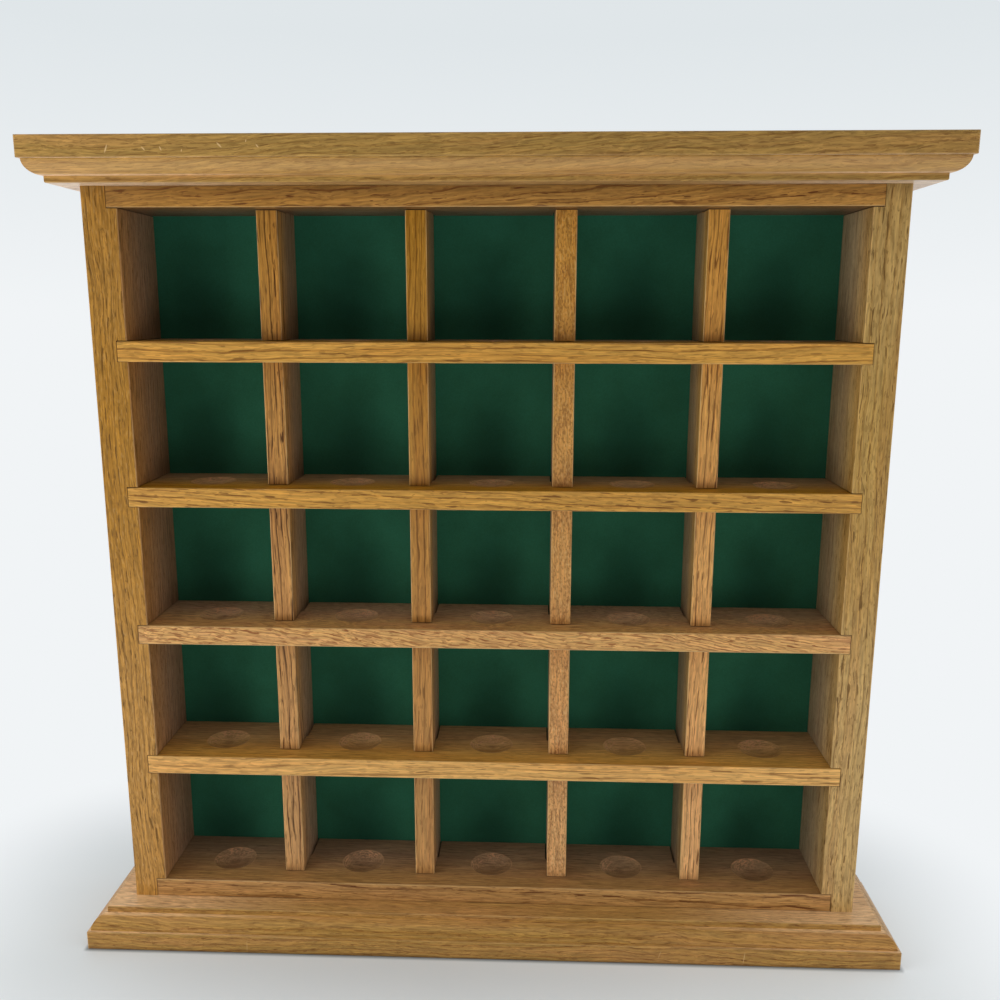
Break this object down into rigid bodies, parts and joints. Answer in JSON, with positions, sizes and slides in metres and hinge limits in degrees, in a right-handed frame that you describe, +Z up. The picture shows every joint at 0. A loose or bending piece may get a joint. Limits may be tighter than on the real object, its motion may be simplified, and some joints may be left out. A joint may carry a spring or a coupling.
{
  "type": "golf ball display case",
  "caption": "Free-standing oak display case: a square grid of open cells with dished seats for golf balls, a felt back, and moulded crown and base boards.",
  "frame": {"origin": "middle of the underside, at the centre of the overall width and depth", "axes": "+X to the right seen from the open front, +Y from the front to the back, +Z up"},
  "size_m": [0.3868, 0.0628, 0.372],
  "materials": {
    "oak_crown": "flat-sawn oak, stained honey brown, satin varnish",
    "oak_base": "flat-sawn oak, stained honey brown, satin varnish",
    "oak_sides": "straight-grained oak, stained honey brown, satin varnish",
    "oak_panels": "flat-sawn oak, stained honey brown, satin varnish",
    "oak_shelves": "straight-grained oak, golden, satin varnish",
    "oak_dividers": "straight-grained oak, golden, satin varnish",
    "felt": "dark green wool felt",
    "back_board": "bare hardboard, smooth",
    "dowel_birch": "bare birch",
    "steel_screws": "zinc plated",
    "steel_brads": "bright steel"
  },
  "bodies": {
    "root": {"crown_board": "oak_crown", "base_board": "oak_base", "left_side": "oak_sides", "right_side": "oak_sides", "top_panel": "oak_panels", "bottom_panel": "oak_panels", "shelf_1": "oak_shelves", "shelf_2": "oak_shelves", "shelf_3": "oak_shelves", "shelf_4": "oak_shelves", "divider_1": "oak_dividers", "divider_2": "oak_dividers", "divider_3": "oak_dividers", "divider_4": "oak_dividers", "felt_backing": "felt", "back_panel": "back_board", "crown_dowels": "dowel_birch", "base_screws": "steel_screws", "back_brads": "steel_brads"}
  },
  "joints": []
}
